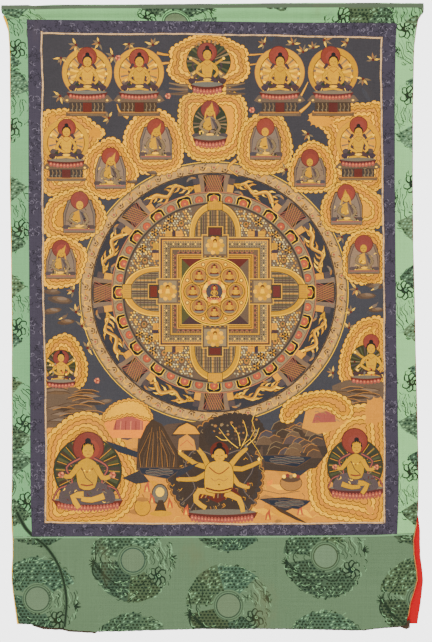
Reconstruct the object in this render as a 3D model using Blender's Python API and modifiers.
"""Hanging scroll painting: a painted canvas in a piped cloth mount, hung by its top sleeve.

Metres, +Z up. The face looks along -Y and the wall is on the +Y side. The origin is at the
middle of the sleeve's top edge. Tables are in millimetres: x is measured from the centre line,
drop is measured down from the origin, and depth is measured towards the wall.
"""

import math

import bmesh
import bpy
import numpy as np

MM = 0.001

CLOTH = 1.2 * MM  # thickness of the canvas, border, damask and header
FACING = 1.0 * MM  # thickness of the narrow strips sewn behind the edges
GAP = 0.5 * MM  # clearance between two pieces
PIPING_RADIUS = 1.4 * MM
EDGE_PIPING_RADIUS = 0.7 * MM
FACING_SET_BACK = 2.0 * MM  # from the damask's mid surface to a facing's
FACING_TUCK = 9.0 * MM  # how far a facing reaches in behind the damask
HEM_FACING_HEIGHT = 12.0 * MM
ROW_SPACING = 42.0 * MM
PIPING_SPACING = 40.0 * MM

SLEEVE_FOOT = 20.5 * MM  # drop at which the sleeve's two layers come together
SLEEVE_LOBE = 17.8 * MM  # drop of the lowest point of the rolled part
SLEEVE_HALF_DEPTH = 6.5 * MM
SLEEVE_OPEN_ANGLE = math.radians(50)  # the rolled part spans 180 degrees and this at each side
SLEEVE_FACETS = 12
FLAP_DEPTH = 2.1 * MM  # of the sleeve's rear layer below the roll
FLAP_END = 24.0 * MM

# Outer edges of the damask, from the sleeve's top to the bottom corners.
SIDES = (
    ("drop", "left", "right"),
    (0, -317.0, 315.5),
    (14, -317.0, 315.5),
    (19, -312.0, 309.5),
    (26, -308.5, 307.0),
    (40, -306.0, 304.5),
    (63, -304.5, 301.5),
    (85, -303.8, 300.6),
    (175, -304.0, 299.5),
    (265, -304.5, 299.5),
    (355, -302.5, 300.0),
    (445, -301.3, 302.0),
    (535, -301.0, 303.5),
    (625, -301.0, 306.0),
    (715, -301.0, 307.5),
    (760, -302.0, 307.0),
    (774, -301.0, 305.7),
    (786, -300.5, 303.0),
    (805, -299.3, 299.7),
    (828, -299.5, 301.0),
    (852, -301.0, 304.8),
    (866, -301.0, 305.7),
    (880, -299.7, 301.8),
    (900, -296.5, 295.5),
    (930, -292.0, 290.5),
)

# How far each facing shows past the damask's edge.
FACING_SHOWS = (
    ("drop", "left", "right"),
    (17, 2.0, 0.9),
    (23, 4.5, 0.9),
    (31, 3.2, 0.9),
    (42, 1.4, 0.9),
    (200, 0.8, 0.9),
    (370, 1.4, 0.9),
    (520, 0.8, 0.9),
    (700, 0.6, 1.0),
    (768, 1.0, 1.2),
    (778, 1.4, 4.6),
    (790, 1.6, 8.6),
    (805, 1.6, 11.3),
    (852, 1.5, 9.9),
    (866, 1.3, 10.2),
    (880, 1.2, 12.6),
    (900, 1.6, 16.5),
    (931, 2.2, 16.8),
)

# Depth of the facings' mid surface from the damask's: they start behind the sleeve.
FACING_DEPTH = (
    ("drop", "left", "right"),
    (17, 6.4, 6.4),
    (21, 4.2, 4.2),
    (27, 3.8, 3.8),
    (36, 2.0, 2.0),
    (740, 2.0, 2.0),
    (772, 2.0, 3.9),
    (931, 2.0, 3.9),
)

# Seam between side panel and border, and the line of the piping, on both sides.
INNER = (
    ("drop", "seam_left", "piping_left", "piping_right", "seam_right"),
    (25, -279.5, -257.3, 253.5, 276.0),
    (70, -277.5, -257.0, 252.5, 273.8),
    (115, -277.2, -255.5, 251.5, 273.2),
    (170, -276.8, -256.5, 253.0, 272.8),
    (295, -276.8, -255.3, 254.5, 273.0),
    (445, -275.5, -254.8, 256.5, 274.5),
    (520, -274.8, -252.3, 257.0, 275.3),
    (595, -274.5, -251.0, 256.8, 277.0),
    (715, -273.8, -250.2, 257.0, 278.7),
    (760, -273.0, -251.3, 256.8, 278.0),
    (800, -271.5, -252.4, 256.0, 276.0),
)

# Level lines: the sleeve's top, the header's seam, the piping's top and bottom, the skirt's seam.
LEVELS = (
    ("x", "header_seam", "piping_top", "piping_bottom", "skirt_seam"),
    (-320, 23.5, 44.2, 777.5, 799.5),
    (-245, 24.2, 44.5, 777.9, 799.2),
    (-140, 25.3, 46.4, 779.3, 799.0),
    (-80, 25.9, 45.2, 779.4, 798.7),
    (0, 26.6, 46.6, 779.6, 798.4),
    (40, 27.2, 47.0, 780.6, 798.2),
    (100, 28.0, 48.2, 780.0, 798.0),
    (245, 29.0, 51.4, 778.4, 796.8),
    (320, 29.8, 51.8, 778.0, 793.0),
)

# The sleeve's top edge, with the dip where it sags near its left end.
SLEEVE_TOP = (
    ("x", "drop"),
    (-318, 2.3),
    (-276, 2.0),
    (-268, 3.6),
    (-259, 5.6),
    (-250, 5.6),
    (-244, 3.0),
    (-238, 1.5),
    (-160, 1.2),
    (-80, 0.7),
    (0, 0.0),
    (130, -1.3),
    (250, -1.5),
    (316, -0.8),
)

# Bottom edge of the skirt, and of the facing that shows below it.
HEM = (
    ("x", "skirt", "facing"),
    (-292, 930.0, 929.5),
    (-273, 931.5, 933.0),
    (-253, 934.5, 938.5),
    (-230, 936.8, 939.5),
    (-220, 939.0, 941.8),
    (-176, 942.3, 945.0),
    (-172, 942.4, 941.6),
    (-128, 941.2, 940.2),
    (-95, 939.8, 940.5),
    (-20, 937.5, 938.5),
    (70, 937.5, 938.7),
    (145, 937.8, 939.3),
    (195, 938.7, 940.3),
    (225, 939.0, 940.8),
    (250, 936.3, 937.5),
    (281, 933.8, 936.0),
    (291, 932.8, 939.5),
    (297, 932.4, 936.5),
)

HEM_FACING_ENDS = (-271.0 * MM, 296.0 * MM)

EDGE_PIPING_ENDS = (778.0 * MM, 920.0 * MM)

# Line of the crease at the lower left, which turns down through the skirt.
CREASE = (
    ("drop", "x"),
    (770, -291.0),
    (787, -284.0),
    (800, -271.0),
    (813, -252.0),
    (832, -239.0),
    (851, -229.5),
    (873, -223.0),
    (899, -220.5),
    (918, -222.5),
    (945, -224.0),
)
CREASE_DEPTH = 4.0 * MM
CREASE_HALF_WIDTH = 5.0 * MM
CREASE_BULGE = 2.5 * MM  # how far the cloth on its left stands out
CREASE_BULGE_AT = 22.0 * MM
CREASE_BULGE_WIDTH = 15.0 * MM
CREASE_STARTS = 772.0 * MM
CREASE_FULL = 815.0 * MM
CREASE_COLUMNS = (-10.0 * MM, -5.0 * MM, -2.0 * MM, 1.5 * MM, 5.0 * MM, 10.0 * MM)

# Soft vertical waves of the hanging cloth: forward where depth is negative.
RIPPLES = (
    ("x", "width", "top", "bottom", "depth"),
    (-297, 16, 120, 420, 3.0),
    (-290, 18, 470, 800, -2.5),
    (-190, 40, 60, 760, 1.6),
    (-60, 45, 200, 900, -1.6),
    (80, 40, 100, 700, 1.4),
    (190, 26, 80, 760, 1.6),
    (228, 18, 70, 740, -2.6),
    (292, 16, 110, 420, 3.2),
    (296, 18, 440, 780, -3.0),
    (296, 22, 780, 1010, 5.0),
    (120, 40, 800, 1010, 2.2),
    (-120, 34, 800, 1010, -2.2),
)
RIPPLE_FADE = 60.0 * MM
ROLL_WAVE = 0.7 * MM  # what is left of the curl from being stored rolled
ROLL_PITCH = 118.0 * MM
HANG_STARTS = 20.0 * MM
HANG_FADE = 60.0 * MM

COLOURS = {
    "damask": (0.18, 0.31, 0.18),
    "brocade": (0.045, 0.035, 0.07),
    "paint": (0.33, 0.2, 0.06),
    "gold_cord": (0.7, 0.47, 0.24),
    "yellow_silk": (0.76, 0.6, 0.22),
    "red_silk": (0.71, 0.035, 0.025),
    "brown_cloth": (0.06, 0.03, 0.02),
}


def column(table, name):
    """One named column of a table in metres."""
    index = table[0].index(name)
    return np.array([row[index] for row in table[1:]]) * MM


def read(table, name, at):
    """The named column's value at this value of the first column."""
    return float(np.interp(at, column(table, table[0][0]), column(table, name)))


def smooth(value):
    """0 below 0 and 1 above 1, with a soft step between."""
    value = min(max(value, 0.0), 1.0)
    return value * value * (3.0 - 2.0 * value)


def mix(a, b, share):
    return a + (b - a) * share


def stations(low, high, marks, spacing):
    """Values from low to high, through every mark between, with no step over the spacing."""
    inside = [m for m in marks if low + spacing / 8 < m < high - spacing / 8]
    values = [low]
    for stop in sorted(inside) + [high]:
        steps = max(1, math.ceil((stop - values[-1]) / spacing))
        values += [mix(values[-1], stop, (i + 1) / steps) for i in range(steps)]
    return values


def crease_depth(x, drop):
    """The trough along the crease, and the round of cloth that stands out beside it."""
    strength = smooth((drop - CREASE_STARTS) / (CREASE_FULL - CREASE_STARTS))
    step = 4.0 * MM
    here = read(CREASE, "x", drop)
    lean = (read(CREASE, "x", drop + step) - read(CREASE, "x", drop - step)) / (2 * step)
    away = (x - here) / math.hypot(1.0, lean)
    trough = CREASE_DEPTH * math.exp(-((away / CREASE_HALF_WIDTH) ** 2))
    bulge = CREASE_BULGE * math.exp(-(((away + CREASE_BULGE_AT) / CREASE_BULGE_WIDTH) ** 2))
    return strength * (trough - bulge)


def cloth_depth(x, drop):
    """Depth of the hanging cloth's mid surface."""
    depth = ROLL_WAVE * math.sin(2 * math.pi * drop / ROLL_PITCH)
    for centre, width, top, bottom, height in RIPPLES[1:]:
        along = smooth((drop - top * MM) / RIPPLE_FADE) * smooth((bottom * MM - drop) / RIPPLE_FADE)
        depth += height * MM * along * math.exp(-(((x - centre * MM) / (width * MM)) ** 2))
    depth *= smooth((drop - HANG_STARTS) / HANG_FADE)
    return depth + crease_depth(x, drop)


def on_cloth(x, drop, behind=0.0):
    return x, cloth_depth(x, drop) + behind, -drop


def material(name):
    """The named plain finish, made once."""
    made = bpy.data.materials.get(name)
    if made is None:
        made = bpy.data.materials.new(name)
        made.use_nodes = True
        shader = made.node_tree.nodes["Principled BSDF"]
        shader.inputs["Base Color"].default_value = (*COLOURS[name], 1.0)
        shader.inputs["Roughness"].default_value = 0.8
        shader.inputs["Metallic"].default_value = 0.0
    return made


def sheet(name, finish, across, down, place, thickness=CLOTH):
    """A sheet of cloth: a grid of across by down stations, each placed by place(u, v)."""
    grid = bmesh.new()
    columns, rows = len(across), len(down)
    bmesh.ops.create_grid(grid, x_segments=columns - 1, y_segments=rows - 1, size=0.5)
    for vertex in grid.verts:
        i = round((vertex.co.x + 0.5) * (columns - 1))
        j = round((0.5 - vertex.co.y) * (rows - 1))
        vertex.co = place(across[i], down[j])
    mesh = bpy.data.meshes.new(name)
    grid.to_mesh(mesh)
    grid.free()
    piece = bpy.data.objects.new(name, mesh)
    mesh.shade_smooth()
    mesh.materials.append(material(finish))
    solid = piece.modifiers.new("thickness", "SOLIDIFY")
    solid.thickness = thickness
    solid.offset = 0.0
    HANGING.objects.link(piece)
    return piece


def cord(name, finish, points, radius):
    """A thin piping along the points, closed at both ends."""
    curve = bpy.data.curves.new(name, "CURVE")
    curve.dimensions = "3D"
    curve.bevel_depth = radius
    curve.bevel_resolution = 1
    curve.use_fill_caps = True
    line = curve.splines.new("POLY")
    line.points.add(len(points) - 1)
    for point, place in zip(line.points, points):
        point.co = (*place, 1.0)
    curve.materials.append(material(finish))
    piece = bpy.data.objects.new(name, curve)
    HANGING.objects.link(piece)
    return piece


def sleeve_profile():
    """Depth and share of the roll's height round the sleeve, from its front foot to its rear one."""
    turn = math.pi + 2 * SLEEVE_OPEN_ANGLE
    for i in range(SLEEVE_FACETS + 1):
        angle = -SLEEVE_OPEN_ANGLE + turn * i / SLEEVE_FACETS
        yield -SLEEVE_HALF_DEPTH * math.cos(angle), (1 - math.sin(angle)) / 2


def make_header():
    """The header: one cloth turned over to the back, which leaves an empty sleeve along its top."""
    roll = [("roll", depth, share) for depth, share in sleeve_profile()]
    front = [("flat", 0.0, "header_seam"), ("flat", 0.0, SLEEVE_FOOT)]
    rear = [("flat", FLAP_DEPTH, SLEEVE_FOOT), ("flat", FLAP_DEPTH, FLAP_END)]
    left, right = column(SLEEVE_TOP, "x")[[0, -1]]
    across = stations(left, right, column(SLEEVE_TOP, "x"), ROW_SPACING)

    def place(x, point):
        kind, depth, level = point
        if kind == "roll":
            drop = mix(read(SLEEVE_TOP, "drop", x) + CLOTH / 2, SLEEVE_LOBE, level)
        elif level == "header_seam":
            drop = read(LEVELS, level, x) - GAP / 2
        else:
            drop = level
        share = (x - left) / (right - left)
        edge_left = read(SIDES, "left", drop)
        edge_right = read(SIDES, "right", drop)
        return mix(edge_left, edge_right, share), depth, -drop

    return sheet("header", "damask", across, front + roll + rear, place)


def between(table, low, high, spacing=ROW_SPACING):
    return stations(low, high, column(table, table[0][0]), spacing)


def make_sides():
    """The two narrow side panels, between the header and the skirt."""
    for side, into in (("left", 1), ("right", -1)):
        outer = column(SIDES, side).mean()
        top = read(LEVELS, "header_seam", outer) + GAP / 2
        bottom = read(LEVELS, "skirt_seam", outer) - GAP / 2

        def place(u, v, side=side, into=into, top=top, bottom=bottom):
            x = mix(read(SIDES, side, v), read(INNER, "seam_" + side, v) - into * GAP / 2, u)
            high = read(LEVELS, "header_seam", x) + GAP / 2
            low = read(LEVELS, "skirt_seam", x) - GAP / 2
            return on_cloth(x, mix(high, low, (v - top) / (bottom - top)))

        shares = (0.0, 0.35, 0.7, 1.0) if side == "left" else (1.0, 0.7, 0.35, 0.0)
        sheet("side_" + side, "damask", shares, between(SIDES, top, bottom), place)


def mitre(side, edge, share):
    """The x and drop of a border corner's mitre, from its outer point at 0 to its inner one at 1."""
    room = PIPING_RADIUS + GAP
    into = 1 if side == "left" else -1
    below = 1 if edge == "top" else -1
    seam = "header_seam" if edge == "top" else "skirt_seam"
    level = column(LEVELS, seam).mean()
    outer_x = read(INNER, "seam_" + side, level)
    outer_drop = read(LEVELS, seam, outer_x)
    inner_x = read(INNER, "piping_" + side, column(LEVELS, "piping_" + edge).mean()) - into * room
    inner_drop = read(LEVELS, "piping_" + edge, inner_x) - below * room
    return mix(outer_x, inner_x, share), mix(outer_drop, inner_drop, share)


def make_border():
    """The four dark border strips, mitred at their corners."""
    room = PIPING_RADIUS + GAP
    top, bottom = column(LEVELS, "header_seam").min(), column(LEVELS, "skirt_seam").max()
    left, right = column(INNER, "seam_left").min(), column(INNER, "seam_right").max()

    def upright(side, into):
        def place(u, v):
            high = mitre(side, "top", u)[1] + GAP
            low = mitre(side, "bottom", u)[1] - GAP
            drop = mix(high, low, (v - top) / (bottom - top))
            outer = read(INNER, "seam_" + side, drop) + into * GAP / 2
            return on_cloth(mix(outer, read(INNER, "piping_" + side, drop) - into * room, u), drop)

        shares = (0.0, 0.5, 1.0) if into > 0 else (1.0, 0.5, 0.0)
        down = between(INNER, top, bottom, ROW_SPACING / 2)
        sheet("border_" + side, "brocade", shares, down, place)

    def level(edge, seam, below):
        def place(u, v):
            low = mitre("left", edge, v)[0] + GAP
            high = mitre("right", edge, v)[0] - GAP
            x = mix(low, high, (u - left) / (right - left))
            outer = read(LEVELS, seam, x) + below * GAP / 2
            return on_cloth(x, mix(outer, read(LEVELS, "piping_" + edge, x) - below * room, v))

        shares = (0.0, 0.5, 1.0) if below > 0 else (1.0, 0.5, 0.0)
        sheet("border_" + edge, "brocade", between(LEVELS, left, right), shares, place)

    upright("left", 1)
    upright("right", -1)
    level("top", "header_seam", 1)
    level("bottom", "skirt_seam", -1)


def make_painting():
    """The painted canvas, inside the piping."""
    room = PIPING_RADIUS + GAP
    top, bottom = column(LEVELS, "piping_top").min(), column(LEVELS, "piping_bottom").max()
    left, right = column(INNER, "piping_left").min(), column(INNER, "piping_right").max()

    def place(u, v):
        share = (v - top) / (bottom - top)
        low = read(INNER, "piping_left", v) + room
        high = read(INNER, "piping_right", v) - room
        x = mix(low, high, (u - left) / (right - left))
        drop = mix(read(LEVELS, "piping_top", x) + room, read(LEVELS, "piping_bottom", x) - room, share)
        return on_cloth(x, drop)

    ridges = [x * MM for x in (-190, -60, 80, 150, 190, 210, 228, 243)]
    across = stations(left, right, ridges, ROW_SPACING)
    sheet("painting", "paint", across, between(INNER, top, bottom), place)


def make_piping():
    """The four lengths of piping: the uprights run past the level ones."""
    for side in ("left", "right"):
        x_of = "piping_" + side
        middle = column(INNER, x_of).mean()
        top = read(LEVELS, "piping_top", middle) - PIPING_RADIUS
        bottom = read(LEVELS, "piping_bottom", middle) + PIPING_RADIUS
        drops = between(INNER, top, bottom, PIPING_SPACING)
        points = [on_cloth(read(INNER, x_of, drop), drop) for drop in drops]
        cord(x_of, "gold_cord", points, PIPING_RADIUS)
    for edge in ("top", "bottom"):
        drop_of = "piping_" + edge
        drop = column(LEVELS, drop_of).mean()
        start = read(INNER, "piping_left", drop) + PIPING_RADIUS + GAP
        end = read(INNER, "piping_right", drop) - PIPING_RADIUS - GAP
        places = between(LEVELS, start, end, PIPING_SPACING)
        points = [on_cloth(x, read(LEVELS, drop_of, x)) for x in places]
        cord(drop_of, "gold_cord", points, PIPING_RADIUS)


def make_skirt():
    """The wide panel below the painting, with its crease and uneven lower edge."""
    hem_marks = column(HEM, "x")
    crease_foot = read(CREASE, "x", column(CREASE, "drop")[-1])
    right_end = hem_marks[-1]
    left_zone = [("left", share) for share in (0.0, 0.35, 0.7)]
    crease_zone = [("crease", offset) for offset in CREASE_COLUMNS]
    beyond = crease_foot + CREASE_COLUMNS[-1]
    right_marks = stations(beyond, right_end, hem_marks, ROW_SPACING * 0.75)[1:]
    right_zone = [("right", (x - beyond) / (right_end - beyond)) for x in right_marks]
    top = column(LEVELS, "skirt_seam").min() + GAP
    bottom = column(HEM, "skirt").max()

    def place(column_at, v):
        zone, value = column_at
        crease = read(CREASE, "x", v)
        left, right = read(SIDES, "left", v), read(SIDES, "right", v)
        first = max(crease + CREASE_COLUMNS[0], left + 6 * MM)
        if zone == "left":
            x = mix(left, first, value)
        elif zone == "crease":
            x = first + value - CREASE_COLUMNS[0]
        else:
            x = mix(first + CREASE_COLUMNS[-1] - CREASE_COLUMNS[0], right, value)
        high = read(LEVELS, "skirt_seam", x) + GAP / 2
        low = read(HEM, "skirt", x)
        return on_cloth(x, mix(high, low, (v - top) / (bottom - top)))

    down = stations(top, bottom, column(SIDES, "drop"), ROW_SPACING / 2)
    sheet("skirt", "damask", left_zone + crease_zone + right_zone, down, place)


def make_facings():
    """The yellow and red edge facings, the red one's piping and the brown hem facing."""
    top, bottom = column(FACING_SHOWS, "drop")[[0, -1]]
    for side, away, finish in (("left", -1, "yellow_silk"), ("right", 1, "red_silk")):

        def place(u, drop, side=side, away=away):
            edge = read(SIDES, side, drop)
            inner = edge - away * FACING_TUCK
            outer = edge + away * read(FACING_SHOWS, side, drop)
            x = mix(inner, outer, u)
            return on_cloth(x, drop, read(FACING_DEPTH, side, drop))

        shares = (1.0, 0.7, 0.35, 0.0) if side == "left" else (0.0, 0.35, 0.7, 1.0)
        down = between(FACING_SHOWS, top, bottom, ROW_SPACING * 0.75)
        sheet("facing_" + side, finish, shares, down, place, FACING)

    starts, ends = EDGE_PIPING_ENDS
    behind = read(FACING_DEPTH, "right", ends) - FACING / 2 - GAP - EDGE_PIPING_RADIUS
    points = []
    for drop in between(FACING_SHOWS, starts, ends, PIPING_SPACING / 2):
        x = read(SIDES, "right", drop) + EDGE_PIPING_RADIUS + GAP
        points.append(on_cloth(x, drop, behind))
    cord("facing_piping", "yellow_silk", points, EDGE_PIPING_RADIUS)

    def hem(x, v):
        low = read(HEM, "facing", x)
        return on_cloth(x, low - HEM_FACING_HEIGHT * (1 - v), FACING_SET_BACK)

    across = between(HEM, *HEM_FACING_ENDS, ROW_SPACING * 0.75)
    creased = [read(CREASE, "x", 930 * MM) + offset for offset in CREASE_COLUMNS]
    across = sorted(set(across) | set(creased))
    sheet("facing_hem", "brown_cloth", across, (0.0, 0.5, 1.0), hem, FACING)


for old in list(bpy.data.objects):
    bpy.data.objects.remove(old, do_unlink=True)

HANGING = bpy.data.collections.new("hanging_scroll_painting")
bpy.context.scene.collection.children.link(HANGING)

make_header()
make_sides()
make_border()
make_painting()
make_piping()
make_skirt()
make_facings()
